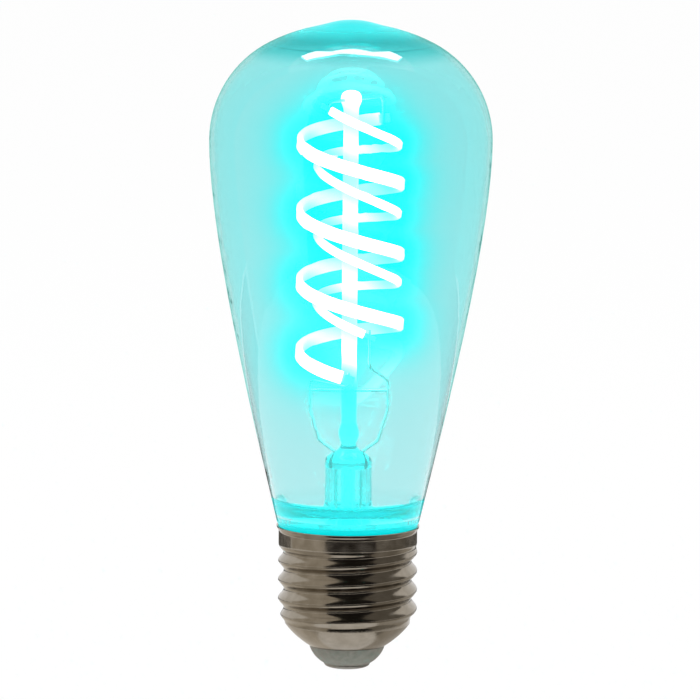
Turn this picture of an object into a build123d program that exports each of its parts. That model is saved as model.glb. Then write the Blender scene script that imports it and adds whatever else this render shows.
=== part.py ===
from build123d import *
import math
import os

# A clear filament lamp on an E27 screw cap: a blown glass envelope sealed to a
# glass stem that carries two spiral filament strips, with the driver in the cap.
# Millimetres. +Z runs along the lamp's axis from the centre contact to the
# crown, and the origin is the middle of the contact's face.

# Screw cap, E27. Lengths stack up from the contact's face.
CONTACT_HEIGHT = 0.95
CONTACT_DIAMETER = 8.8
CONTACT_FLAT = 3.2
RIVET_DIAMETER = 2.0
RIVET_STAND = 0.6
INSULATOR_HEIGHT = 3.4
INSULATOR_BULGE = 0.45
INSULATOR_PLUG = 1.7
CONE_HEIGHT = 4.25
CONE_FOOT_DIAMETER = 14.4
CONE_TOP_DIAMETER = 23.8
CONE_BULGE = 0.3
THREAD_LENGTH = 15.6
THREAD_MAJOR = 26.4
THREAD_MINOR = 24.26
THREAD_PITCH = 3.629
THREAD_PHASE = 71.0
THREAD_RUN_OUT = 2.4
RINGS_PER_TURN = 8
COLLAR_LENGTH = 2.0
COLLAR_DIAMETER = 26.3
LIP_HEIGHT = 1.2
LIP_FLARE = 0.4
SHEET = 0.35

# Glass envelope
GLASS_HEIGHT = 96.2
GIRTH_DIAMETER = 53.5
CROWN_RADIUS = 34.0
SHOULDER_RADIUS = 20.6
PIP_HEIGHT = 0.6
PIP_RADIUS = 7.5
PIP_EASE = 0.45
GLASS_WALL = 0.8
FOOT_RISE = 0.9
FOOT_ANGLE = 13.0
GIRTH_PULL = 0.275
FOOT_PULL = 0.125
INSIDE_SHARE = 0.88
NECK_GAP = 1.2
NECK_CLEARANCE = 0.18
NECK_BEND = 3.4
NECK_LENGTH = 3.5
FOOT_EASE = 1.2
NECK_EASE = 1.8
CEMENT_RECESS = 0.5

# Glass stem
SEAL_RISE = 2.0
STEM_WALL = 1.05
FLARE_RISE = 3.2
FLARE_EASE = 0.8
TUBE_DIAMETER = 8.9
TUBE_LENGTH = 7.0
PRESS_HEIGHT = 3.6
PRESS_FLOOR = 1.0
EXHAUST_DIAMETER = 2.7
EXHAUST_BORE = 1.5
EXHAUST_LENGTH = 16.8
ROD_DIAMETER = 2.9
ROD_LENGTH = 63.4
ROD_BEAD_DIAMETER = 3.9
ROD_BEAD_LENGTH = 3.8
ROD_TIP_DIAMETER = 4.0
ROD_TIP_LENGTH = 3.8

# Wires
WIRE_DIAMETER = 0.55
WIRE_BEND = 1.2
WIRE_REACH = 1.2
LEAD_SPREAD = 2.4
LEAD_TAIL = 5.0
POST_SPREAD = 7.4
POST_RISE = 6.3
POST_LENGTH = 5.7
SPLAY_SPREAD = 5.6
SPLAY_RISE = 0.5
ARM_DROP = 1.9
ARM_EMBED = 0.9
LINK_DROP = 1.8

# Spiral filament strips: each winds up from its foot, left-handed, and its
# turns lean, each one so much lower on the right than on the left.
STRIP_A_RADIUS = 9.6
STRIP_A_WIDTH = 2.4
STRIP_A_THICKNESS = 1.2
STRIP_A_PITCH = 13.3
STRIP_A_TURNS = 3.572
STRIP_A_FOOT = 13.75
STRIP_A_ANGLE = 262.0
STRIP_A_LEAN = 1.3
STRIP_B_RADIUS = 7.9
STRIP_B_OFFSET = 1.35
STRIP_B_WIDTH = 1.6
STRIP_B_THICKNESS = 0.9
STRIP_B_PITCH = 13.0
STRIP_B_TURNS = 3.14
STRIP_B_FOOT = 22.1
STRIP_B_ANGLE = 280.0
STRIP_B_LEAN = 2.9
STRIP_EDGE = 0.3
TAB_LENGTH = 2.4
TAB_THICKNESS = 0.3
TAB_MARGIN = 0.35
WELD_GAP = 0.02

# Driver in the cap
BOARD_WIDTH = 18.0
BOARD_HEIGHT = 10.5
BOARD_THICKNESS = 1.0
BOARD_CORNER = 1.0
EXHAUST_GAP = 2.3
PACKAGE_WIDTH = 3.2
PACKAGE_HEIGHT = 4.6
PACKAGE_DEPTH = 1.4
PACKAGE_SPREAD = 6.0
PACKAGE_DRAFT = 8.0
PIN_COUNT = 4
PIN_WIDTH = 0.45
PIN_REACH = 0.7
PIN_THICKNESS = 0.25
CAN_DIAMETER = 6.3
CAN_HEIGHT = 9.0
CAN_OFFSET = 4.0
CAN_BAND = 0.9
CAN_CRIMP = 0.3
FUSE_DIAMETER = 2.4
FUSE_LENGTH = 5.4
FUSE_OFFSET = 4.6
PIGTAIL_DIAMETER = 0.5
PIGTAIL_DROP = 1.0
CHIP_COUNT = 3
CHIP_WIDTH = 1.6
CHIP_HEIGHT = 0.8
CHIP_DEPTH = 0.5
CHIP_PITCH = 2.4
SHELL_WIRE_SPREAD = 6.8
SHELL_WIRE_RISE = 1.4
CONTACT_WIRE_REACH = 3.4
SOLDER_RADIUS = 0.8

# Heights and radii that follow from the sizes above
INSULATOR_TOP = CONTACT_HEIGHT + INSULATOR_HEIGHT
CONE_TOP = INSULATOR_TOP + CONE_HEIGHT
COLLAR_FOOT = CONE_TOP + THREAD_LENGTH
COLLAR_TOP = COLLAR_FOOT + COLLAR_LENGTH
RIM = COLLAR_TOP + LIP_HEIGHT
CAP_BORE = THREAD_MINOR / 2 - SHEET
COLLAR_BORE = COLLAR_DIAMETER / 2 - SHEET
LIP_RADIUS = COLLAR_DIAMETER / 2 + LIP_FLARE
NECK_RADIUS = min(COLLAR_BORE - NECK_GAP, CAP_BORE - NECK_CLEARANCE)
NECK_BORE = NECK_RADIUS - GLASS_WALL
NECK_TOP = RIM - NECK_BEND
NECK_FOOT = NECK_TOP - NECK_LENGTH
SEAL_TOP = RIM + SEAL_RISE
SEAL_FOOT = SEAL_TOP - STEM_WALL
TUBE_FOOT = SEAL_TOP + FLARE_RISE
TUBE_TOP = TUBE_FOOT + TUBE_LENGTH
PRESS_TOP = TUBE_TOP + PRESS_HEIGHT
PRESS_UNDERSIDE = TUBE_TOP - PRESS_FLOOR
TUBE_BORE = TUBE_DIAMETER / 2 - STEM_WALL
ROD_TOP = PRESS_TOP + ROD_LENGTH + ROD_TIP_LENGTH
LINK_HEIGHT = ROD_TOP - LINK_DROP
WIRE_RADIUS = WIRE_DIAMETER / 2
SPLAY_HEIGHT = PRESS_TOP + SPLAY_RISE
POST_FOOT = PRESS_TOP + POST_RISE
POST_TOP = POST_FOOT + POST_LENGTH
ARM_HEIGHT = POST_TOP - ARM_DROP
EXHAUST_TIP = PRESS_UNDERSIDE - EXHAUST_LENGTH
BOARD_TOP = EXHAUST_TIP - EXHAUST_GAP
BOARD_FOOT = BOARD_TOP - BOARD_HEIGHT
BOARD_FRONT = WIRE_RADIUS + WELD_GAP
BOARD_BACK = BOARD_FRONT + BOARD_THICKNESS
LEAD_FOOT = BOARD_TOP - LEAD_TAIL


def at(radius, height):
    return Vector(radius, 0, height)


def turned(*outline):
    """A solid turned about the axis from a closed outline in the XZ plane."""
    edges = [edge for piece in outline for edge in piece.edges()]
    return revolve(Face(Wire(edges)), Axis.Z)


def arc(centre, radius, start, end):
    """An arc in the XZ plane between two angles from +X, in radians."""
    middle = (start + end) / 2
    stops = [centre + at(math.cos(a), math.sin(a)) * radius for a in (start, middle, end)]
    return ThreePointArc(*stops)


def bulged(start, end, rise):
    """A shallow arc between two points of the XZ plane that stands out by rise."""
    along = end - start
    out = at(along.Z, -along.X).normalized()
    return ThreePointArc(start, (start + end) * 0.5 + out * rise, end)


def upper_share(points, share):
    """Control points of a curve's first share, by repeated division."""
    kept = [points[0]]
    while len(points) > 1:
        points = [a + (b - a) * share for a, b in zip(points, points[1:])]
        kept.append(points[0])
    return kept


def smooth(share):
    share = min(max(share, 0), 1)
    return share * share * (3 - 2 * share)


def wire(points, radius=WIRE_RADIUS, bend=WIRE_BEND):
    """A round wire along straight runs joined by bends."""
    path = FilletPolyline(*points, radius=bend) if len(points) > 2 else Line(*points)
    return sweep(Plane(path @ 0, z_dir=path % 0) * Circle(radius), path=path)


# Screw cap


def thread_body():
    """Knuckle thread: a round section that circles the axis once in each pitch."""
    mean = (THREAD_MAJOR + THREAD_MINOR) / 4
    throw = (THREAD_MAJOR - THREAD_MINOR) / 4
    count = round(THREAD_LENGTH / THREAD_PITCH * RINGS_PER_TURN)
    rings = []
    for ring in range(count + 1):
        rise = THREAD_LENGTH * ring / count
        low = smooth(rise / THREAD_RUN_OUT)
        high = smooth((THREAD_LENGTH - rise) / THREAD_RUN_OUT)
        foot_step = (1 - low) * (CONE_TOP_DIAMETER / 2 - mean)
        head_step = (1 - high) * (COLLAR_DIAMETER / 2 - mean)
        turn = math.radians(THREAD_PHASE + 360 * rise / THREAD_PITCH)
        reach = throw * low * high
        place = Pos(reach * math.cos(turn), reach * math.sin(turn), CONE_TOP + rise)
        rings.append(place * Circle(mean + foot_step + head_step))
    return loft(rings)


def cone_inside():
    """The straight inner wall of the cone, from its foot to the cap's bore."""
    return at(CONE_FOOT_DIAMETER / 2 - SHEET, INSULATOR_TOP), at(CAP_BORE, CONE_TOP + SHEET)


def cap_cavity():
    """The space inside the cap's sheet, from the insulator to the rim."""
    bore_foot, bore_shoulder = cone_inside()
    step = at(COLLAR_BORE, COLLAR_FOOT + COLLAR_BORE - CAP_BORE)
    inner_top = at(COLLAR_BORE, COLLAR_TOP)
    inner_lip = at(LIP_RADIUS - SHEET, RIM)
    ease = at(0, LIP_HEIGHT / 2)
    return turned(
        Polyline(at(0, RIM), at(0, INSULATOR_TOP), bore_foot, bore_shoulder),
        Polyline(bore_shoulder, at(CAP_BORE, COLLAR_FOOT), step, inner_top),
        Bezier(inner_top, inner_top + ease, inner_lip - ease, inner_lip),
        Line(inner_lip, at(0, RIM)),
    )


def cap_shell():
    foot = at(CONE_FOOT_DIAMETER / 2, INSULATOR_TOP)
    shoulder = at(CONE_TOP_DIAMETER / 2, CONE_TOP)
    cone = turned(
        Line(at(0, INSULATOR_TOP), foot),
        bulged(foot, shoulder, CONE_BULGE),
        Polyline(shoulder, at(0, CONE_TOP), at(0, INSULATOR_TOP)),
    )
    collar_foot = at(COLLAR_DIAMETER / 2, COLLAR_FOOT)
    collar_top = at(COLLAR_DIAMETER / 2, COLLAR_TOP)
    lip = at(LIP_RADIUS, RIM)
    ease = at(0, LIP_HEIGHT / 2)
    collar = turned(
        Line(at(0, COLLAR_FOOT), collar_foot),
        Line(collar_foot, collar_top),
        Bezier(collar_top, collar_top + ease, lip - ease, lip),
        Polyline(lip, at(0, RIM), at(0, COLLAR_FOOT)),
    )
    return cone + thread_body() + collar - cap_cavity()


def cap_insulator():
    bore_foot, bore_shoulder = cone_inside()
    share = INSULATOR_PLUG / (bore_shoulder.Z - bore_foot.Z)
    plug_top = bore_foot + (bore_shoulder - bore_foot) * share
    foot = at(CONTACT_DIAMETER / 2, CONTACT_HEIGHT)
    brim = at(CONE_FOOT_DIAMETER / 2, INSULATOR_TOP)
    hole = RIVET_DIAMETER / 2
    return turned(
        Line(at(hole, CONTACT_HEIGHT), foot),
        bulged(foot, brim, INSULATOR_BULGE),
        Polyline(brim, bore_foot, plug_top, at(hole, plug_top.Z), at(hole, CONTACT_HEIGHT)),
    )


def rivet_top():
    return INSULATOR_TOP + INSULATOR_PLUG + RIVET_STAND


def centre_contact():
    flat = at(CONTACT_FLAT / 2, 0)
    brim = at(CONTACT_DIAMETER / 2, CONTACT_HEIGHT)
    shank = RIVET_DIAMETER / 2
    return turned(
        Line(at(0, 0), flat),
        Bezier(flat, at(CONTACT_DIAMETER / 2, 0), brim),
        Polyline(brim, at(shank, CONTACT_HEIGHT), at(shank, rivet_top())),
        Polyline(at(shank, rivet_top()), at(0, rivet_top()), at(0, 0)),
    )


# Glass


def glass_envelope():
    crown_top = RIM + GLASS_HEIGHT - PIP_HEIGHT
    crown_centre = at(0, crown_top - CROWN_RADIUS)
    girth = GIRTH_DIAMETER / 2
    across = girth - SHOULDER_RADIUS
    up = math.sqrt((CROWN_RADIUS - SHOULDER_RADIUS) ** 2 - across**2)
    shoulder_centre = crown_centre + at(across, up)
    join = math.atan2(up, across)
    pip_angle = math.acos(PIP_RADIUS / CROWN_RADIUS)
    pip_edge = crown_centre + at(math.cos(pip_angle), math.sin(pip_angle)) * CROWN_RADIUS
    pip_lean = at(-math.sin(pip_angle), math.cos(pip_angle)) * PIP_RADIUS * PIP_EASE
    tip = at(0, crown_top + PIP_HEIGHT)

    lean = math.radians(FOOT_ANGLE)
    rise = at(math.sin(lean), math.cos(lean))
    foot = at(LIP_RADIUS, RIM + FOOT_RISE)
    widest = at(girth, shoulder_centre.Z)
    span = widest.Z - foot.Z
    flank = [widest, widest - at(0, GIRTH_PULL * span), foot + rise * (FOOT_PULL * span), foot]
    inside = upper_share(flank, INSIDE_SHARE)
    run = (inside[3] - inside[2]).normalized()
    inward = at(run.Z, -run.X) * GLASS_WALL
    level = at(GLASS_WALL, 0)
    inside = [inside[0] - level, inside[1] - level, inside[2] + inward, inside[3] + inward]

    neck = at(NECK_RADIUS, NECK_TOP)
    seal = at(NECK_BORE, SEAL_TOP)
    ease = at(0, NECK_EASE)
    inner_top = at(0, crown_top - GLASS_WALL)
    return turned(
        Bezier(tip, tip + at(PIP_RADIUS * PIP_EASE, 0), pip_edge + pip_lean, pip_edge),
        arc(crown_centre, CROWN_RADIUS, pip_angle, join),
        arc(shoulder_centre, SHOULDER_RADIUS, join, 0),
        Bezier(*flank),
        Bezier(foot, foot - rise * FOOT_EASE, neck + ease, neck),
        Polyline(neck, at(NECK_RADIUS, NECK_FOOT), at(NECK_BORE, NECK_FOOT), seal),
        Bezier(inside[3], inside[3] + run * FOOT_EASE, seal + ease, seal),
        Bezier(*inside),
        arc(shoulder_centre, SHOULDER_RADIUS - GLASS_WALL, join, 0),
        arc(crown_centre, CROWN_RADIUS - GLASS_WALL, math.pi / 2, join),
        Line(inner_top, tip),
    )


def capping_cement(envelope):
    """The ring of cement that fills the collar round the glass neck."""
    height = RIM - CEMENT_RECESS - COLLAR_FOOT
    slab = Pos(0, 0, COLLAR_FOOT + height / 2) * Cylinder(LIP_RADIUS, height)
    core = Pos(0, 0, COLLAR_FOOT + height / 2) * Cylinder(NECK_BORE, height)
    return (cap_cavity() & slab) - core - envelope


def stem_tube(leads):
    """Flared tube with its closed press, fused round the two lead wires."""
    tube = TUBE_DIAMETER / 2
    rod = ROD_DIAMETER / 2
    lift = at(0, FLARE_RISE)
    ease = at(0, FLARE_EASE)
    rim = at(NECK_BORE, SEAL_TOP)
    under = at(NECK_BORE, SEAL_FOOT)
    outer = at(tube, SEAL_TOP)
    inner = at(TUBE_BORE, SEAL_FOOT)
    shoulder = at(tube, TUBE_TOP)
    crest = at(rod, PRESS_TOP)
    half_press = at(0, PRESS_HEIGHT / 2)
    body = turned(
        Line(under, rim),
        Bezier(rim, outer + at(FLARE_EASE, FLARE_EASE / 2), outer + ease, outer + lift),
        Line(outer + lift, shoulder),
        Bezier(shoulder, shoulder + half_press, crest - half_press, crest),
        Polyline(crest, at(0, PRESS_TOP), at(0, PRESS_UNDERSIDE), at(TUBE_BORE, PRESS_UNDERSIDE)),
        Line(at(TUBE_BORE, PRESS_UNDERSIDE), inner + lift),
        Bezier(inner + lift, inner + ease, inner + at(FLARE_EASE, FLARE_EASE / 2), under),
    )
    for lead in leads:
        body = body - lead
    return body


def exhaust_tube():
    """Pumping tube inside the stem, tipped off at its lower end."""
    outside = EXHAUST_DIAMETER / 2
    inside = EXHAUST_BORE / 2
    wall = outside - inside
    tip = at(0, EXHAUST_TIP)
    hollow = at(0, EXHAUST_TIP + 2 * wall)
    round_top = at(outside, EXHAUST_TIP + outside)
    hollow_top = hollow + at(inside, inside)
    return turned(
        Bezier(tip, at(outside, EXHAUST_TIP), round_top),
        Polyline(round_top, at(outside, PRESS_UNDERSIDE), at(inside, PRESS_UNDERSIDE), hollow_top),
        Bezier(hollow_top, hollow + at(inside, 0), hollow),
        Line(hollow, tip),
    )


def stem_rod(wires):
    """Solid rod fused to the press, with a bead at its foot and one at its tip."""
    rod = ROD_DIAMETER / 2
    bead_foot = at(rod, PRESS_TOP)
    bead_top = bead_foot + at(0, ROD_BEAD_LENGTH)
    neck = at(rod, ROD_TOP - ROD_TIP_LENGTH)
    tip_side = at(ROD_TIP_DIAMETER / 2, LINK_HEIGHT)
    crown = at(0, ROD_TOP)
    body = turned(
        Line(at(0, PRESS_TOP), bead_foot),
        bulged(bead_foot, bead_top, ROD_BEAD_DIAMETER / 2 - rod),
        Line(bead_top, neck),
        Bezier(neck, neck + at(0, WIRE_DIAMETER), tip_side - at(0, WIRE_DIAMETER), tip_side),
        Bezier(tip_side, at(tip_side.X, ROD_TOP), crown),
        Line(crown, at(0, PRESS_TOP)),
    )
    for piece in wires:
        body = body - piece
    return body


# Filament strips and their wires


class Strip:
    """One spiral filament strip and the planes at its two ends."""

    def __init__(self, radius, offset, width, thickness, pitch, turns, foot, angle, lean):
        self.width = width
        self.thickness = thickness
        self.axis = Vector(offset, 0, 0)
        place = Pos(offset, 0, PRESS_TOP + foot) * Rot(0, 0, angle)
        upright = place * Helix(pitch, pitch * turns, radius, lefthand=True)
        fall = lean / (2 * radius)
        self.path = upright.transform_geometry(
            Matrix(
                [
                    [1, 0, 0, 0],
                    [0, 1, 0, 0],
                    [-fall, 0, 1, fall * offset],
                    [0, 0, 0, 1],
                ]
            )
        )

    def end(self, share, outward):
        """Plane at an end: X away from the helix axis, Z out along the strip."""
        point = self.path @ share
        away = Vector(point.X, point.Y, 0) - self.axis
        along = (self.path % share) * outward
        return Plane(point, x_dir=away - along * away.dot(along), z_dir=along)

    def foot(self):
        return self.end(0, -1)

    def head(self):
        return self.end(1, 1)

    def body(self):
        start = self.end(0, 1)
        section = Rectangle(self.thickness, self.width)
        section = chamfer(section.vertices(), STRIP_EDGE)
        return sweep(start * section, path=self.path, is_frenet=True)

    def tab(self, plane):
        width = self.width - 2 * TAB_MARGIN
        grip = (Align.CENTER, Align.CENTER, Align.MIN)
        return plane * Box(TAB_THICKNESS, width, TAB_LENGTH, align=grip)

    def weld(self, plane, side):
        """Where a wire crosses a tab, on its inner (-1) or outer (+1) face."""
        offset = TAB_THICKNESS / 2 + WIRE_RADIUS + WELD_GAP
        return plane.from_local_coords(Vector(side * offset, 0, TAB_LENGTH / 2))


strip_a = Strip(
    STRIP_A_RADIUS,
    0,
    STRIP_A_WIDTH,
    STRIP_A_THICKNESS,
    STRIP_A_PITCH,
    STRIP_A_TURNS,
    STRIP_A_FOOT,
    STRIP_A_ANGLE,
    STRIP_A_LEAN,
)
strip_b = Strip(
    STRIP_B_RADIUS,
    STRIP_B_OFFSET,
    STRIP_B_WIDTH,
    STRIP_B_THICKNESS,
    STRIP_B_PITCH,
    STRIP_B_TURNS,
    STRIP_B_FOOT,
    STRIP_B_ANGLE,
    STRIP_B_LEAN,
)


def past(weld, height):
    """End of a wire that comes from a height and passes over a weld."""
    return weld + Vector(0, 0, math.copysign(WIRE_REACH, weld.Z - height))


def lead_wire(side, weld):
    """From the driver board through the press, out to its post and on to a tab."""
    corner = Vector(weld.X, weld.Y, max(POST_TOP, weld.Z - POST_LENGTH))
    return wire(
        [
            at(side * LEAD_SPREAD, LEAD_FOOT),
            at(side * LEAD_SPREAD, PRESS_TOP - PRESS_HEIGHT / 2),
            at(side * SPLAY_SPREAD, SPLAY_HEIGHT),
            at(side * POST_SPREAD, POST_FOOT),
            at(side * POST_SPREAD, POST_TOP),
            corner,
            past(weld, corner.Z),
        ]
    )


def support_arm(side, lead):
    """Straight wire from the rod to the post of a lead wire."""
    inner = at(side * (ROD_DIAMETER / 2 - ARM_EMBED), ARM_HEIGHT)
    return wire([inner, at(side * POST_SPREAD, ARM_HEIGHT)]) - lead


def top_link_wire():
    """Bridge through the rod's tip that joins the upper ends of both strips."""
    first = strip_a.weld(strip_a.head(), -1)
    last = strip_b.weld(strip_b.head(), -1)
    over_first = Vector(first.X, first.Y, LINK_HEIGHT)
    over_last = Vector(last.X, last.Y, LINK_HEIGHT)
    return wire([past(first, LINK_HEIGHT), over_first, over_last, past(last, LINK_HEIGHT)])


# Driver in the cap


def driver_board():
    board = Box(BOARD_WIDTH, BOARD_THICKNESS, BOARD_HEIGHT)
    board = fillet(board.edges().filter_by(Axis.Y), BOARD_CORNER)
    return Pos(0, (BOARD_FRONT + BOARD_BACK) / 2, (BOARD_FOOT + BOARD_TOP) / 2) * board


def board_face(across, height):
    """Plane on the board's front: X across the board, Z away from it."""
    return Plane((across, BOARD_FRONT, height), x_dir=(1, 0, 0), z_dir=(0, -1, 0))


def flat_package():
    """Moulded package with bent pins down both sides, standing on its pins."""
    sole = PIN_THICKNESS
    body = extrude(Rectangle(PACKAGE_WIDTH, PACKAGE_HEIGHT), PACKAGE_DEPTH - sole, taper=PACKAGE_DRAFT)
    package = Pos(0, 0, sole) * body
    span = PACKAGE_WIDTH + 2 * PIN_REACH
    pitch = PACKAGE_HEIGHT / PIN_COUNT
    for row in range(PIN_COUNT):
        height = (row - (PIN_COUNT - 1) / 2) * pitch
        grip = (Align.CENTER, Align.CENTER, Align.MIN)
        package = package + Pos(0, height, 0) * Box(span, PIN_WIDTH, PIN_THICKNESS, align=grip)
    return package


def package_height():
    return (LEAD_FOOT + BOARD_TOP) / 2


def pigtail(start, drop):
    """Lead of a component, bent over from its end to the back of the board."""
    knee = start + Vector(0, 0, drop)
    end = Vector(knee.X, BOARD_BACK, knee.Z)
    return wire([start, knee, end], PIGTAIL_DIAMETER / 2, PIGTAIL_DIAMETER)


def smoothing_capacitor():
    """Crimped can that stands against the back of the board on two bent leads."""
    can = CAN_DIAMETER / 2
    foot = BOARD_TOP - CAN_HEIGHT
    crimp = foot + CAN_BAND
    groove = at(can - CAN_CRIMP, crimp + CAN_CRIMP)
    body = turned(
        Polyline(at(0, foot), at(can, foot), at(can, crimp), groove),
        Polyline(groove, at(can, groove.Z + CAN_CRIMP), at(can, BOARD_TOP - CAN_CRIMP)),
        Polyline(at(can, BOARD_TOP - CAN_CRIMP), at(can - CAN_CRIMP, BOARD_TOP), at(0, BOARD_TOP), at(0, foot)),
    )
    centre = Vector(CAN_OFFSET, BOARD_BACK + can + WELD_GAP, 0)
    body = Pos(*centre) * body
    for side in (-1, 1):
        body = body + pigtail(centre + Vector(side * can / 2, 0, foot), -PIGTAIL_DROP)
    return body


def fuse_resistor():
    """Axial resistor upright behind the board, with both leads bent over to it."""
    middle = (BOARD_FOOT + BOARD_TOP) / 2
    centre = Vector(-FUSE_OFFSET, BOARD_BACK + FUSE_DIAMETER / 2 + WELD_GAP, middle)
    body = Cylinder(FUSE_DIAMETER / 2, FUSE_LENGTH)
    body = Pos(*centre) * fillet(body.edges(), PIGTAIL_DIAMETER)
    for side in (-1, 1):
        body = body + pigtail(centre + Vector(0, 0, side * FUSE_LENGTH / 2), side * PIGTAIL_DROP)
    return body


def chip_resistors():
    """A row of chip resistors along the foot of the board."""
    grip = (Align.CENTER, Align.CENTER, Align.MIN)
    height = BOARD_FOOT + CHIP_HEIGHT + BOARD_CORNER
    chips = []
    for place in range(CHIP_COUNT):
        across = (place - (CHIP_COUNT - 1) / 2) * CHIP_PITCH - PACKAGE_SPREAD
        chips.append(board_face(across, height) * Box(CHIP_WIDTH, CHIP_HEIGHT, CHIP_DEPTH, align=grip))
    return Compound(chips)


def shell_wire():
    """From the board across to the wall of the cap."""
    height = BOARD_FOOT + SHELL_WIRE_RISE
    run = wire([at(SHELL_WIRE_SPREAD, height), at(CAP_BORE + WIRE_DIAMETER, height)])
    bore = Pos(0, 0, height) * Cylinder(CAP_BORE, THREAD_PITCH)
    return run & bore


def contact_wire():
    """From the contact's rivet straight up the front of the board."""
    return wire([at(0, rivet_top()), at(0, BOARD_FOOT + CONTACT_WIRE_REACH)])


def solder_joints(wires):
    """A drop of solder over each wire's end on the board."""
    places = [
        at(-LEAD_SPREAD, LEAD_FOOT + WIRE_DIAMETER),
        at(LEAD_SPREAD, LEAD_FOOT + WIRE_DIAMETER),
        at(0, BOARD_FOOT + CONTACT_WIRE_REACH - WIRE_DIAMETER),
        at(SHELL_WIRE_SPREAD + WIRE_DIAMETER, BOARD_FOOT + SHELL_WIRE_RISE),
    ]
    drops = []
    for place in places:
        drop = Pos(place.X, BOARD_FRONT, place.Z) * Sphere(SOLDER_RADIUS)
        drop = split(drop, Plane((0, BOARD_FRONT, 0), z_dir=(0, -1, 0)))
        for piece in wires:
            drop = drop - piece
        drops.append(max(drop.solids(), key=lambda solid: solid.volume))
    return Compound(drops)


def build():
    nodes = {}
    nodes["cap_shell"] = cap_shell()
    nodes["cap_insulator"] = cap_insulator()
    nodes["centre_contact"] = centre_contact()

    nodes["glass_envelope"] = glass_envelope()
    nodes["capping_cement"] = capping_cement(nodes["glass_envelope"])

    left = lead_wire(-1, strip_a.weld(strip_a.foot(), -1))
    right = lead_wire(1, strip_b.weld(strip_b.foot(), -1))
    nodes["lead_wire_left"] = left
    nodes["lead_wire_right"] = right
    nodes["support_arm_left"] = support_arm(-1, left)
    nodes["support_arm_right"] = support_arm(1, right)
    nodes["top_link_wire"] = top_link_wire()
    nodes["stem_tube"] = stem_tube([left, right])
    nodes["exhaust_tube"] = exhaust_tube()
    held = ["support_arm_left", "support_arm_right", "top_link_wire"]
    nodes["stem_rod"] = stem_rod([nodes[name] for name in held])

    for name, strip in (("filament_a", strip_a), ("filament_b", strip_b)):
        nodes[name] = strip.body()
        nodes[name + "_lower_tab"] = strip.tab(strip.foot())
        nodes[name + "_upper_tab"] = strip.tab(strip.head())

    nodes["driver_board"] = driver_board()
    nodes["bridge_rectifier"] = board_face(-PACKAGE_SPREAD, package_height()) * flat_package()
    nodes["driver_chip"] = board_face(PACKAGE_SPREAD, package_height()) * flat_package()
    nodes["smoothing_capacitor"] = smoothing_capacitor()
    nodes["fuse_resistor"] = fuse_resistor()
    nodes["chip_resistors"] = chip_resistors()
    nodes["shell_wire"] = shell_wire()
    nodes["contact_wire"] = contact_wire()
    soldered = [left, right, nodes["contact_wire"], nodes["shell_wire"]]
    nodes["solder_joints"] = solder_joints(soldered)
    return nodes


os.makedirs("parts", exist_ok=True)
for node, solid in build().items():
    export_step(solid, f"parts/{node}.step")
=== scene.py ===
import math

import bmesh
import bpy
from mathutils import Matrix, Vector


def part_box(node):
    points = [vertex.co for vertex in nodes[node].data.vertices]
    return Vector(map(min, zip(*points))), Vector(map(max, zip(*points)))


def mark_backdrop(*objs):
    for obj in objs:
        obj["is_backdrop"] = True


# A clear filament lamp on a screw cap, lit, seen a little from above. The frame
# is in metres, +Z up the lamp's axis from the centre contact to the crown.

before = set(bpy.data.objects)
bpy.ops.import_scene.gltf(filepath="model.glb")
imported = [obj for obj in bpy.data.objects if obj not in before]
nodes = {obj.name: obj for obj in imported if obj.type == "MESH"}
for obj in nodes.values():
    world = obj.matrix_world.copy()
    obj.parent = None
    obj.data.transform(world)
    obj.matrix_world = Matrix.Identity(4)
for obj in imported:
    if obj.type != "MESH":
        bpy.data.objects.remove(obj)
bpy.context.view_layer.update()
MM = 0.001

# Camera: where the lamp's axis crosses the middle of the picture, and how far
# the picture reaches
VIEW_ELEVATION = math.radians(8.0)
VIEW_ROLL = math.radians(0.45)
VIEW_DISTANCE = 1.6
VIEW_WIDTH = 132.5 * MM
VIEW_AIM = Vector((0.13 * MM, 0, 60.9 * MM))
SENSOR = 36.0

# Studio
FLOOR_DROP = 45 * MM
FLOOR_REACH = 2.5
FLOOR_WHITE = 0.96
ROOM_LIGHT = 0.75
CARD_STEPS = 12
LAMP_PLACE = (0, 0.45, 0.95)
LAMP_AIM = 70 * MM
LAMP_WIDTH, LAMP_HEIGHT = 0.68, 0.16
LAMP_POWER = 4.5

# Profiles of the cards round the lamp, as radius and height: a tent with a sloping
# roof for the cap's shine, a low one behind it, a tall one behind the glass, and flat
# ones on the floor
TENT = ((0.28, -0.04), (0.28, 0.35), (0.05, 0.45))
LOW_SCREEN = ((0.28, -0.04), (0.28, -0.01))
TALL_SCREEN = ((0.28, -0.008), (0.28, 0.5))
FLOOR_CARD = ((0.03, -0.044), (0.2, -0.044))
FAR_FLOOR_CARD = ((0.05, -0.044), (0.2, -0.044))

# Painted halo in the gas round the strips: how far from the strips it reaches, how fine its
# grid is, and how far out to look for the glass that keeps it in. Then how strongly a metre
# of it filters red and how much cyan light it paints in, each as how steeply it falls off, its
# strength right beside a strip and its strength all over
GLOW_REACH = 17 * MM
GLOW_GRAIN = 1.2 * MM
GLASS_SEARCH = 100 * MM
GLOW_FILTER = (6.0, 300.0, 10.0)
GLOW_LIGHT = (8.0, 64.0, 2.5)

# Where the glass is thick, a painted glow stands in for the strips' light filling it: the seal,
# by its height over the cap's rim, and the crown's tip, by its depth under the crown
SEAL_FULL, SEAL_END = 0.8 * MM, 1.4 * MM
TIP_FULL, TIP_END = 0.6 * MM, 3.2 * MM
PAINTED_GLOW_SHARE = 0.85
THICK_PAINTED_GLOW = 0.68

# Painted glow for the light that the stem's glass catches: all over, on the flare by its
# height over the flare's foot, and on the rod from the strips' feet up
STEM_PAINTED_GLOW = 0.75
FLARE_FULL, FLARE_END = 0.7 * MM, 1.8 * MM
FLARE_MILK = 0.28
ROD_FADE = 3.0 * MM
ROD_PAINTED_GLOW = 12.0
ROD_MILK = 0.7

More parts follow.
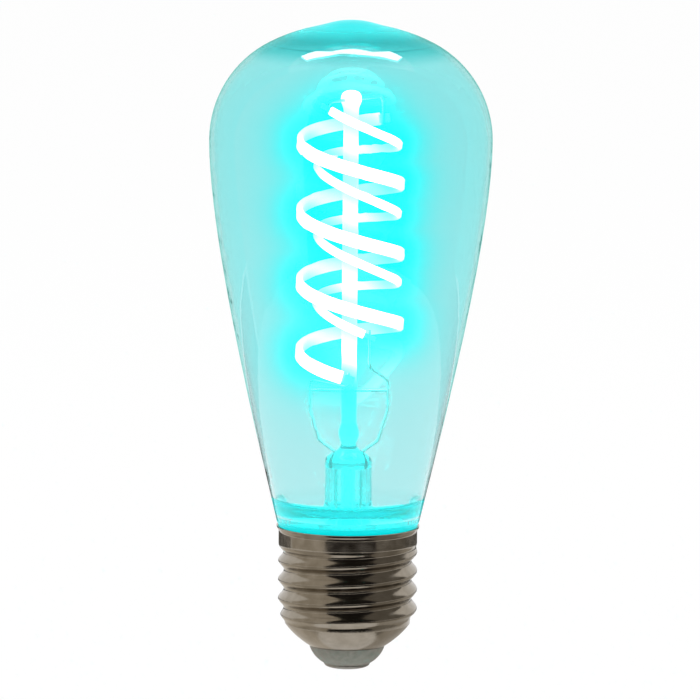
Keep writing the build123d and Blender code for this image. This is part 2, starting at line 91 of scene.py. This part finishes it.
# Diodes in a strip: how far apart, and how bright between them and over them
DIODE_SPACING = 2.0 * MM
STRIP_LIGHT, DIODE_LIGHT = 54.0, 66.0

# Light paths: one that looks through the lamp crosses many glass faces
GLASS_FACES = 28


def colour(code):
    """Linear RGBA of an sRGB hex code."""
    channels = [int(code[place : place + 2], 16) / 255 for place in (1, 3, 5)]
    linear = [c / 12.92 if c <= 0.04045 else ((c + 0.055) / 1.055) ** 2.4 for c in channels]
    return (*linear, 1.0)


def add(tree, kind, inputs=None, **settings):
    """Adds a node, sets its properties, and sets or links its inputs."""
    node = tree.nodes.new(kind)
    for name, value in settings.items():
        setattr(node, name, value)
    for name, value in (inputs or {}).items():
        if isinstance(value, bpy.types.NodeSocket):
            tree.links.new(value, node.inputs[name])
        else:
            node.inputs[name].default_value = value
    return node


def ramp(tree, factor, stops):
    """Colour ramp through (place, hex code) stops."""
    node = add(tree, "ShaderNodeValToRGB", {"Fac": factor})
    points = node.color_ramp.elements
    while len(points) < len(stops):
        points.new(0.5)
    for point, (place, code) in zip(points, stops):
        point.position = place
        point.color = colour(code)
    return node.outputs["Color"]


def blank(name):
    """A new material with an empty node tree, and its output node."""
    material = bpy.data.materials.new(name)
    material.use_nodes = True
    tree = material.node_tree
    tree.nodes.clear()
    output = tree.nodes.new("ShaderNodeOutputMaterial")
    return material, tree, output


def place_of(tree):
    """The point on the surface, in metres, as a vector and as X, Y and Z."""
    point = add(tree, "ShaderNodeTexCoord").outputs["Object"]
    split = add(tree, "ShaderNodeSeparateXYZ", {"Vector": point})
    return point, split.outputs


def speckle(tree, point, grain, detail=3.0):
    """Noise with a grain of so many millimetres."""
    inputs = {"Vector": point, "Scale": 1 / (grain * MM), "Detail": detail}
    return add(tree, "ShaderNodeTexNoise", inputs).outputs["Fac"]


def between(tree, value, low, high, bottom=0.0, top=1.0):
    """A value mapped from low..high to bottom..top and kept there."""
    inputs = {"Value": value, "From Min": low, "From Max": high, "To Min": bottom, "To Max": top}
    return add(tree, "ShaderNodeMapRange", inputs).outputs["Result"]


def lets_lamps_through(tree, shader, tint):
    """The shader for the eye, and a clear tint for a lamp's light."""
    path = add(tree, "ShaderNodeLightPath")
    clear = add(tree, "ShaderNodeBsdfTransparent", {"Color": tint})
    mix = add(tree, "ShaderNodeMixShader", {"Fac": path.outputs["Is Shadow Ray"]})
    tree.links.new(shader, mix.inputs[1])
    tree.links.new(clear.outputs["BSDF"], mix.inputs[2])
    return mix.outputs["Shader"]


def body_tint(tree, output, tint, depth):
    """Colours the glass by how much of it the light crosses, so that edges show deepest."""
    body = add(tree, "ShaderNodeVolumeAbsorption", {"Color": colour(tint), "Density": depth})
    tree.links.new(body.outputs["Volume"], output.inputs["Volume"])


# Finishes


def painted_seal_and_tip_glow(tree, height, glass):
    """The glass, mixed with a cloudy one that has a painted glow, in the seal over the rim and in the
    crown's tip.
    """
    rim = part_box("cap_shell")[1].z
    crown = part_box("glass_envelope")[1].z
    seal = between(tree, height, rim + SEAL_END, rim + SEAL_FULL, 0.0, PAINTED_GLOW_SHARE)
    tip = between(tree, height, crown - TIP_END, crown - TIP_FULL, 0.0, PAINTED_GLOW_SHARE)
    share = add(tree, "ShaderNodeMath", {0: seal, 1: tip}, operation="MAXIMUM").outputs[0]
    # Painted glow: cyan emission in place of the strips' light caught in thick glass
    cloudy_painted_glow = add(
        tree,
        "ShaderNodeBsdfPrincipled",
        {
            "Base Color": colour("#007878"),
            "Roughness": 0.3,
            "Specular IOR Level": 0.1,
            "Emission Color": colour("#00f6fa"),
            "Emission Strength": THICK_PAINTED_GLOW,
        },
    )
    mix = add(tree, "ShaderNodeMixShader", {"Fac": share})
    tree.links.new(glass, mix.inputs[1])
    tree.links.new(cloudy_painted_glow.outputs["BSDF"], mix.inputs[2])
    return mix.outputs["Shader"]


def blown_soda_glass():
    """Soda-lime glass blown in a mould: even and fire-polished, with a painted reflection in teal at the
    crown.
    """
    material, tree, output = blank("blown_soda_glass")
    point, place = place_of(tree)
    low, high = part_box("glass_envelope")
    height = between(tree, place["Z"], low.z, high.z)
    flank = [(0.0, "#d9f6f7"), (0.35, "#d2f5f6"), (0.7, "#c7f4f5")]
    # Teal at the crown is a painted reflection, not the glass's own colour
    crown = [(0.93, "#c6f3f4"), (0.95, "#6ed8da"), (1.0, "#26c6ca")]
    tint = ramp(tree, height, flank + crown)
    ripple = speckle(tree, point, 14.0, 1.0)
    bump = add(tree, "ShaderNodeBump", {"Height": ripple, "Strength": 0.05, "Distance": 0.4 * MM})
    glass = add(
        tree,
        "ShaderNodeBsdfPrincipled",
        {
            "Base Color": tint,
            "Roughness": 0.0,
            "IOR": 1.45,
            "Transmission Weight": 1.0,
            "Normal": bump.outputs["Normal"],
        },
    )
    seal = painted_seal_and_tip_glow(tree, place["Z"], glass.outputs["BSDF"])
    shader = lets_lamps_through(tree, seal, colour("#d8f6f6"))
    tree.links.new(shader, output.inputs["Surface"])
    body_tint(tree, output, "#00f0f0", 45.0)
    return material


def drawn_stem_glass(name, tint, milk, depth, painted_glow_from=None, flare=None):
    """Drawn glass worked in a flame: clear, a little milky, and with a painted glow for the strips'
    light near it.
    """
    material, tree, output = blank(name)
    point, place = place_of(tree)
    clear = add(
        tree,
        "ShaderNodeBsdfPrincipled",
        {"Base Color": colour(tint), "Roughness": 0.05, "IOR": 1.5, "Transmission Weight": 1.0},
    )
    # Painted glow: cyan all over, turning white and stronger on the rod near the strips
    light = colour("#10ffff")
    glow = STEM_PAINTED_GLOW
    if painted_glow_from:
        near = between(tree, place["Z"], painted_glow_from - ROD_FADE, painted_glow_from + ROD_FADE)
        light = ramp(tree, near, [(0.0, "#00ffff"), (1.0, "#f0ffff")])
        glow = between(tree, near, 0.0, 1.0, STEM_PAINTED_GLOW, ROD_PAINTED_GLOW)
        milk = between(tree, near, 0.0, 1.0, milk, ROD_MILK)
    if flare:
        milk = between(tree, place["Z"], flare + FLARE_FULL, flare + FLARE_END, FLARE_MILK, milk)
    uneven = between(tree, speckle(tree, point, 3.0, 2.0), 0.3, 0.7, 0.85, 1.0)
    cloud = add(tree, "ShaderNodeMath", {0: uneven, 1: milk}, operation="MULTIPLY").outputs[0]
    milky_painted_glow = add(
        tree,
        "ShaderNodeBsdfPrincipled",
        {
            "Base Color": colour("#20d8d8"),
            "Roughness": 0.25,
            "Emission Color": light,
            "Emission Strength": glow,
        },
    )
    mix = add(tree, "ShaderNodeMixShader", {"Fac": cloud})
    tree.links.new(clear.outputs["BSDF"], mix.inputs[1])
    tree.links.new(milky_painted_glow.outputs["BSDF"], mix.inputs[2])
    shader = lets_lamps_through(tree, mix.outputs["Shader"], colour("#e8ffff"))
    tree.links.new(shader, output.inputs["Surface"])
    body_tint(tree, output, "#00f8f8", depth)
    return material


def lit_silicone(name, middle, radius):
    """Silicone jacket over a row of lit diodes: a brighter spot over each one along the strip."""
    material, tree, output = blank(name)
    place = place_of(tree)[1]
    across = add(tree, "ShaderNodeMath", {0: place["X"], 1: middle}, operation="SUBTRACT").outputs[0]
    turn = add(tree, "ShaderNodeMath", {0: place["Y"], 1: across}, operation="ARCTAN2").outputs[0]
    rate = 2 * math.pi * radius / DIODE_SPACING
    count = add(tree, "ShaderNodeMath", {0: turn, 1: rate}, operation="MULTIPLY").outputs[0]
    wave = add(tree, "ShaderNodeMath", {0: count}, operation="COSINE").outputs[0]
    strength = between(tree, wave, -1.0, 1.0, STRIP_LIGHT, DIODE_LIGHT)
    jacket = add(
        tree,
        "ShaderNodeBsdfPrincipled",
        {
            "Base Color": colour("#eef6e8"),
            "Roughness": 0.4,
            "Emission Color": colour("#deffff"),
            "Emission Strength": strength,
        },
    )
    tree.links.new(jacket.outputs["BSDF"], output.inputs["Surface"])
    return material


def drawn_nickel():
    """Nickel wire and stamped nickel tabs: bright, with faint drawing lines."""
    material, tree, output = blank("drawn_nickel")
    point = place_of(tree)[0]
    lines = speckle(tree, point, 0.4)
    rough = between(tree, lines, 0.3, 0.7, 0.4, 0.5)
    tone = ramp(tree, lines, [(0.3, "#c4d8d6"), (0.7, "#d4e8e6")])
    inputs = {"Base Color": tone, "Metallic": 1.0, "Roughness": rough}
    metal = add(tree, "ShaderNodeBsdfPrincipled", inputs)
    tree.links.new(metal.outputs["BSDF"], output.inputs["Surface"])
    return material


def black_nickel_plate():
    """Rolled brass plated in black nickel: a dark warm mirror, a little duller in patches."""
    material, tree, output = blank("black_nickel_plate")
    point = place_of(tree)[0]
    smear = speckle(tree, point, 2.2)
    fine = speckle(tree, point, 0.35, 2.0)
    rough = between(tree, smear, 0.3, 0.7, 0.12, 0.22)
    tone = ramp(tree, smear, [(0.3, "#8f8678"), (0.7, "#a0978a")])
    bump = add(tree, "ShaderNodeBump", {"Height": fine, "Strength": 0.08, "Distance": 0.05 * MM})
    metal = add(
        tree,
        "ShaderNodeBsdfPrincipled",
        {
            "Base Color": tone,
            "Metallic": 1.0,
            "Roughness": rough,
            "Normal": bump.outputs["Normal"],
        },
    )
    tree.links.new(metal.outputs["BSDF"], output.inputs["Surface"])
    return material


def plain_finish(name, grain, dark, light, smooth, rough, metallic=0.0, depth=0.05):
    """A finish of two tones in patches of one grain, with a little relief."""
    material, tree, output = blank(name)
    point = place_of(tree)[0]
    patch = speckle(tree, point, grain)
    tone = ramp(tree, patch, [(0.3, dark), (0.7, light)])
    gloss = between(tree, patch, 0.3, 0.7, smooth, rough)
    bump = add(tree, "ShaderNodeBump", {"Height": patch, "Strength": 0.25, "Distance": depth * MM})
    body = add(
        tree,
        "ShaderNodeBsdfPrincipled",
        {
            "Base Color": tone,
            "Metallic": metallic,
            "Roughness": gloss,
            "Normal": bump.outputs["Normal"],
        },
    )
    tree.links.new(body.outputs["BSDF"], output.inputs["Surface"])
    return material


def dress(material, *names):
    """Gives nodes their one material."""
    for name in names:
        slots = nodes[name].data.materials
        slots.clear()
        slots.append(material)


strip_boxes = {name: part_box(name) for name in ("filament_a", "filament_b")}


def strip_finish(name):
    """Lit silicone with its diodes set round the strip's own axis."""
    low, high = strip_boxes[name]
    return lit_silicone("lit_" + name, (low.x + high.x) / 2, (high.x - low.x) / 2)


dress(blown_soda_glass(), "glass_envelope")
strips_foot = min(low.z for low, _ in strip_boxes.values())
flare_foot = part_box("stem_tube")[0].z
dress(drawn_stem_glass("drawn_tube_glass", "#e6ffff", 0.05, 320.0, flare=flare_foot), "stem_tube")
dress(drawn_stem_glass("drawn_pipe_glass", "#a0ffff", 0.2, 500.0), "exhaust_tube")
dress(drawn_stem_glass("drawn_rod_glass", "#b0ffff", 0.2, 300.0, painted_glow_from=strips_foot), "stem_rod")
for strip in strip_boxes:
    dress(strip_finish(strip), strip)
nickel = drawn_nickel()
for node in nodes:
    if node.endswith(("_tab", "_wire")) or node.startswith(("lead_wire", "support_arm")):
        dress(nickel, node)
dress(black_nickel_plate(), "cap_shell")
# Phenolic from a polished mould: a dull warm grey, faintly mottled
dress(plain_finish("moulded_phenolic", 0.9, "#767167", "#8a857b", 0.45, 0.6), "cap_insulator")
# Brass dipped in tin: a soft grey metal with dull patches
dress(plain_finish("tinned_brass", 0.8, "#8b8882", "#a19e97", 0.35, 0.5, 1.0), "centre_contact")
# Cement baked in place: chalky, with a coarse grain
dress(plain_finish("baked_cement", 0.6, "#a9a498", "#c2bdb0", 0.85, 0.95, 0.0, 0.15), "capping_cement")
# Fibreglass under solder lacquer: a glossy green, a shade darker over the weave
dress(plain_finish("lacquered_fibreglass", 0.5, "#1d4a2e", "#275c3a", 0.3, 0.4), "driver_board")
# Epoxy moulded round chips: matt black with a fine grain
epoxy = plain_finish("moulded_epoxy", 0.3, "#1b1b1c", "#29292a", 0.5, 0.65)
dress(epoxy, "bridge_rectifier", "driver_chip", "chip_resistors")
# Aluminium drawn to a can: bright, with soft smears
dress(plain_finish("drawn_aluminium", 0.7, "#a9abae", "#c0c2c5", 0.3, 0.4, 1.0), "smoothing_capacitor")
# Ceramic under lacquer: a smooth pale blue
dress(plain_finish("lacquered_ceramic", 0.5, "#7fa8b0", "#95bcc4", 0.3, 0.4), "fuse_resistor")
# Solder set from a melt: a bright metal, a little uneven
dress(plain_finish("bright_solder", 0.4, "#b4b6b8", "#cfd1d3", 0.25, 0.35, 1.0), "solder_joints")


# Light round the lamp


def turned_mesh(name, outline, steps=48):
    """A mesh turned about the axis from (radius, height) points."""
    shape = bmesh.new()
    points = [shape.verts.new((radius, 0, height)) for radius, height in outline]
    edges = [shape.edges.new(pair) for pair in zip(points, points[1:])]
    turned = {"axis": (0, 0, 1), "cent": (0, 0, 0), "angle": 2 * math.pi, "steps": steps}
    bmesh.ops.spin(shape, geom=points + edges, **turned)
    bmesh.ops.remove_doubles(shape, verts=shape.verts, dist=1e-6)
    bmesh.ops.recalc_face_normals(shape, faces=shape.faces)
    mesh = bpy.data.meshes.new(name)
    shape.to_mesh(mesh)
    shape.free()
    thing = bpy.data.objects.new(name, mesh)
    bpy.context.scene.collection.objects.link(thing)
    return thing


def gas_glow():
    """A painted halo: a fog that thins out away from the strips, filters red and gives off cyan light,
    though the gas is no lamp.
    """
    material, tree, output = blank("painted_halo_gas")
    nearness = add(tree, "ShaderNodeVolumeInfo").outputs["Density"]
    strengths = []
    for fall, beside, haze in (GLOW_FILTER, GLOW_LIGHT):
        close = add(tree, "ShaderNodeMath", {0: nearness, 1: fall}, operation="POWER").outputs[0]
        wide = add(tree, "ShaderNodeMath", {0: nearness, 1: haze}, operation="MULTIPLY").outputs[0]
        total = {0: close, 1: beside, 2: wide}
        strengths.append(add(tree, "ShaderNodeMath", total, operation="MULTIPLY_ADD").outputs[0])
    dimming, shine = strengths
    # Painted cyan halo light, and a red filter that tints the halo
    light = add(tree, "ShaderNodeEmission", {"Color": colour("#00ffff"), "Strength": shine})
    inputs = {"Color": colour("#00ffff"), "Density": dimming}
    red_filter = add(tree, "ShaderNodeVolumeAbsorption", inputs)
    both = add(tree, "ShaderNodeAddShader")
    tree.links.new(light.outputs["Emission"], both.inputs[0])
    tree.links.new(red_filter.outputs["Volume"], both.inputs[1])
    tree.links.new(both.outputs["Shader"], output.inputs["Volume"])

    fog = bpy.data.node_groups.new("gas_glow", "GeometryNodeTree")
    fog.interface.new_socket("Geometry", in_out="OUTPUT", socket_type="NodeSocketGeometry")
    strips = add(fog, "GeometryNodeJoinGeometry")
    for strip in strip_boxes:
        shape = add(fog, "GeometryNodeObjectInfo", {"Object": nodes[strip]}).outputs["Geometry"]
        fog.links.new(shape, strips.inputs["Geometry"])
    strips = {"Geometry": strips.outputs["Geometry"]}
    away = add(fog, "GeometryNodeProximity", strips, target_element="FACES")
    near = between(fog, away.outputs["Distance"], 0.0, GLOW_REACH, 1.0, 0.0)
    spot = add(fog, "GeometryNodeInputPosition").outputs["Position"]
    level = {0: spot, 1: (1, 1, 0)}
    outward = add(fog, "ShaderNodeVectorMath", level, operation="MULTIPLY").outputs["Vector"]
    glass = add(fog, "GeometryNodeObjectInfo", {"Object": nodes["glass_envelope"]})
    glass = glass.outputs["Geometry"]
    ray = {"Target Geometry": glass, "Ray Direction": outward, "Ray Length": GLASS_SEARCH}
    inside = add(fog, "GeometryNodeRaycast", ray).outputs["Is Hit"]
    near = add(fog, "ShaderNodeMath", {0: near, 1: inside}, operation="MULTIPLY").outputs[0]
    low = Vector(min(corner[axis] for corner, _ in strip_boxes.values()) for axis in range(3))
    high = Vector(max(corner[axis] for _, corner in strip_boxes.values()) for axis in range(3))
    low -= Vector((GLOW_REACH, GLOW_REACH, GLOW_REACH))
    high += Vector((GLOW_REACH, GLOW_REACH, GLOW_REACH))
    box = {"Density": near, "Min": low, "Max": high}
    for axis, length in zip("XYZ", high - low):
        box["Resolution " + axis] = math.ceil(length / GLOW_GRAIN)
    cloud = {"Geometry": add(fog, "GeometryNodeVolumeCube", box).outputs["Volume"], "Material": material}
    lit = add(fog, "GeometryNodeSetMaterial", cloud).outputs["Geometry"]
    add(fog, "NodeGroupOutput", {"Geometry": lit})
    thing = bpy.data.objects.new("gas_glow", bpy.data.volumes.new("gas_glow"))
    bpy.context.scene.collection.objects.link(thing)
    thing.modifiers.new("fog", "NODES").node_group = fog


gas_glow()


# Studio


def seen_share(tree):
    """1 for light that goes to the eye, straight, by a mirror or through glass, and 0 for the rest."""
    path = add(tree, "ShaderNodeLightPath").outputs
    seen = path["Is Camera Ray"]
    for ray in ("Is Glossy Ray", "Is Transmission Ray"):
        seen = add(tree, "ShaderNodeMath", {0: seen, 1: path[ray]}, operation="MAXIMUM").outputs[0]
    return seen


def floor():
    """White paper: a plain white to look at, that still takes the lamp's shadow."""
    material, tree, output = blank("white_paper")
    seen = seen_share(tree)
    share = add(tree, "ShaderNodeMath", {0: seen, 1: FLOOR_WHITE}, operation="MULTIPLY").outputs[0]
    paper = add(tree, "ShaderNodeBsdfDiffuse", {"Color": colour("#f4f4f4")})
    white = add(tree, "ShaderNodeEmission", {"Color": colour("#ffffff"), "Strength": 1.0})
    mix = add(tree, "ShaderNodeMixShader", {"Fac": share})
    tree.links.new(paper.outputs["BSDF"], mix.inputs[1])
    tree.links.new(white.outputs["Emission"], mix.inputs[2])
    tree.links.new(mix.outputs["Shader"], output.inputs["Surface"])
    thing = turned_mesh("floor", [(0, 0), (FLOOR_REACH, 0)], 64)
    thing.location.z = -FLOOR_DROP
    thing.data.materials.append(material)
    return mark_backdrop(thing)


def white_room():
    """Plain white light from all round."""
    world = bpy.data.worlds.new("white_room")
    bpy.context.scene.world = world
    world.use_nodes = True
    # The room is even, so aiming light at it gains nothing
    world.cycles.sampling_method = "NONE"
    tree = world.node_tree
    tree.nodes.clear()
    seen = seen_share(tree)
    strength = between(tree, seen, 0.0, 1.0, ROOM_LIGHT, 1.0)
    light = add(tree, "ShaderNodeBackground", {"Color": colour("#ffffff"), "Strength": strength})
    output = tree.nodes.new("ShaderNodeOutputWorld")
    tree.links.new(light.outputs["Background"], output.inputs["Surface"])


def card(name, start, end, brightness, profile=TENT, tone="#fff8ec", shows_in="both"):
    """A card that shows only in the shine of glass, metal or both, from start to end degrees round."""
    material, tree, output = blank(name)
    light = add(tree, "ShaderNodeEmission", {"Color": colour(tone), "Strength": brightness})
    shader = light.outputs["Emission"]
    if shows_in != "both":
        # The glass has no roughness, so its shine alone is a sharp one
        sharp = add(tree, "ShaderNodeLightPath").outputs["Is Singular Ray"]
        clear = add(tree, "ShaderNodeBsdfTransparent").outputs["BSDF"]
        mix = add(tree, "ShaderNodeMixShader", {"Fac": sharp})
        glass_slot, metal_slot = mix.inputs[2], mix.inputs[1]
        tree.links.new(shader, glass_slot if shows_in == "glass" else metal_slot)
        tree.links.new(clear, metal_slot if shows_in == "glass" else glass_slot)
        shader = mix.outputs["Shader"]
    tree.links.new(shader, output.inputs["Surface"])
    # Only shine meets a card, so no light is aimed at it
    material.cycles.emission_sampling = "NONE"
    shape = bmesh.new()
    rows = []
    for distance, level in profile:
        row = []
        for step in range(CARD_STEPS + 1):
            turn = math.radians(start + (end - start) * step / CARD_STEPS)
            row.append(shape.verts.new((distance * math.sin(turn), -distance * math.cos(turn), level)))
        rows.append(row)
    for lower, upper in zip(rows, rows[1:]):
        for step in range(CARD_STEPS):
            shape.faces.new((lower[step], lower[step + 1], upper[step + 1], upper[step]))
    mesh = bpy.data.meshes.new(name)
    shape.to_mesh(mesh)
    shape.free()
    mesh.materials.append(material)
    thing = bpy.data.objects.new(name, mesh)
    bpy.context.scene.collection.objects.link(thing)
    thing.visible_camera = False
    thing.visible_transmission = False
    thing.visible_diffuse = False
    thing.visible_shadow = False
    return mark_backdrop(thing)


def crown_strip():
    """A strip lamp behind and above, which draws the bright arc on the crown."""
    data = bpy.data.lights.new("crown_strip", "AREA")
    data.shape = "RECTANGLE"
    data.size = LAMP_WIDTH
    data.size_y = LAMP_HEIGHT
    data.energy = LAMP_POWER
    thing = bpy.data.objects.new("crown_strip", data)
    thing.location = LAMP_PLACE
    aim = Vector((0, 0, LAMP_AIM)) - thing.location
    thing.rotation_euler = aim.to_track_quat("-Z", "Y").to_euler()
    bpy.context.scene.collection.objects.link(thing)


def camera():
    """Looks at the lamp as the picture does."""
    data = bpy.data.cameras.new("camera")
    data.sensor_width = SENSOR
    data.lens = SENSOR * VIEW_DISTANCE / VIEW_WIDTH
    data.clip_start = 0.01
    data.clip_end = 10.0
    thing = bpy.data.objects.new("camera", data)
    bpy.context.scene.collection.objects.link(thing)
    back = Vector((0, -math.cos(VIEW_ELEVATION), math.sin(VIEW_ELEVATION)))
    thing.rotation_mode = "QUATERNION"
    thing.location = VIEW_AIM + back * VIEW_DISTANCE
    turn = (-back).to_track_quat("-Z", "Y").to_matrix() @ Matrix.Rotation(VIEW_ROLL, 3, "Z")
    thing.rotation_quaternion = turn.to_quaternion()
    bpy.context.scene.camera = thing


floor()
white_room()
# Degrees run from the camera's side to the right, and then comes the brightness
card("front_flag", -37, 47, 0.02)
card("right_flat", 47, 110, 0.2)
card("left_flat", -105, -37, 0.62)
card("back_screen", 110, 252, 0.12, LOW_SCREEN)
card("back_tint", 105, 255, 1.0, TALL_SCREEN, "#84d8ce", "glass")
card("front_floor", -37, 47, 0.03, FAR_FLOOR_CARD, shows_in="metal")
FLOOR_CARDS = {
    "right_floor": (47, 105, 0.3),
    "right_back_floor": (105, 172, 0.5),
    "left_floor": (-105, -37, 0.55),
    "left_back_floor": (-172, -105, 0.75),
}
for name, (start, end, brightness) in FLOOR_CARDS.items():
    card(name, start, end, brightness, FLOOR_CARD, shows_in="metal")
crown_strip()
camera()
scene = bpy.context.scene
scene.view_settings.view_transform = "Standard"
scene.cycles.max_bounces = GLASS_FACES
scene.cycles.transmission_bounces = GLASS_FACES
scene.cycles.transparent_max_bounces = GLASS_FACES
